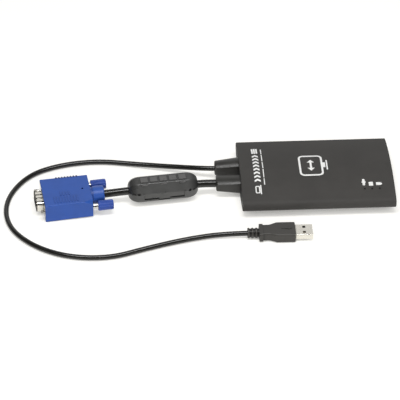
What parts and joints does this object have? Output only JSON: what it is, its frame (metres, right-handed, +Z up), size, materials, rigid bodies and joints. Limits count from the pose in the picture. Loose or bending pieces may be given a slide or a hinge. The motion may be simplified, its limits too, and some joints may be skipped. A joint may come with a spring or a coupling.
{
  "type": "crash cart adapter",
  "caption": "Pocket console adapter: flat oval black case with a short video lead ending in a blue screw-lock plug, a ferrite clip on it, and a longer data lead.",
  "frame": {"origin": "under the middle of the case, on the surface it lies on", "axes": "+X along the case to the end with the link socket, +Y across it to the side away from the data plug, +Z up"},
  "size_m": [0.293, 0.1221, 0.02],
  "materials": {
    "case_black": "satin",
    "plate_black": "matte",
    "screw_steel": "satin",
    "board_green": "satin",
    "chip_black": "matte",
    "lamp_clear": "gloss",
    "guide_clear": "gloss",
    "socket_metal": "satin",
    "insert_black": "matte",
    "contact_gold": "polished",
    "header_white": "satin",
    "wire_grey": "satin",
    "boot_black": "satin",
    "cable_black": "satin",
    "ferrite_case_grey": "satin",
    "ferrite_core_grey": "matte",
    "hood_blue": "satin",
    "shell_metal": "satin",
    "insert_blue": "satin",
    "pin_gold": "polished",
    "knob_blue": "satin",
    "overmould_black": "satin",
    "tongue_black": "satin"
  },
  "bodies": {
    "root": {"case_sleeve": "case_black", "cable_end_plate": "plate_black", "port_end_plate": "plate_black", "cable_end_screws": "screw_steel", "port_end_screws": "screw_steel", "circuit_board": "board_green", "converter_chip": "chip_black", "memory_chip": "chip_black", "hub_chip": "chip_black", "status_lamps": "lamp_clear", "light_guide": "guide_clear", "link_socket_shell": "socket_metal", "link_socket_tongue": "insert_black", "link_socket_contacts": "contact_gold", "data_board_header": "header_white", "video_board_header": "header_white", "data_wires": "wire_grey", "video_wires": "wire_grey", "data_cable_boot": "boot_black", "video_cable_boot": "boot_black", "data_cable": "cable_black", "video_cable": "cable_black", "ferrite_lower_case": "ferrite_case_grey", "ferrite_lower_core": "ferrite_core_grey", "video_plug_hood": "hood_blue", "video_plug_shell": "shell_metal", "video_plug_insulator": "insert_blue", "video_plug_pins": "pin_gold", "data_plug_overmould": "overmould_black", "data_plug_shell": "shell_metal", "data_plug_tongue": "tongue_black", "data_plug_contacts": "contact_gold"},
    "ferrite_lid": {"ferrite_upper_case": "ferrite_case_grey", "ferrite_upper_core": "ferrite_core_grey"},
    "near_screw": {"near_thumbscrew": "screw_steel", "near_thumbscrew_knob": "knob_blue"},
    "far_screw": {"far_thumbscrew": "screw_steel", "far_thumbscrew_knob": "knob_blue"}
  },
  "joints": [
    {"name": "ferrite_lid_hinge", "type": "hinge", "parent": "root", "child": "ferrite_lid", "pos_m": [-0.11703, -0.00155, 0.00729], "axis": [-0.9938, -0.111, 0], "range_deg": [0, 110]},
    {"name": "near_screw_spin", "type": "hinge", "parent": "root", "child": "near_screw", "pos_m": [-0.18686, -0.031, 0.0077], "axis": [0.9923, 0.1236, 0], "continuous": true},
    {"name": "far_screw_spin", "type": "hinge", "parent": "root", "child": "far_screw", "pos_m": [-0.18994, -0.0062, 0.0077], "axis": [0.9923, 0.1236, 0], "continuous": true}
  ]
}
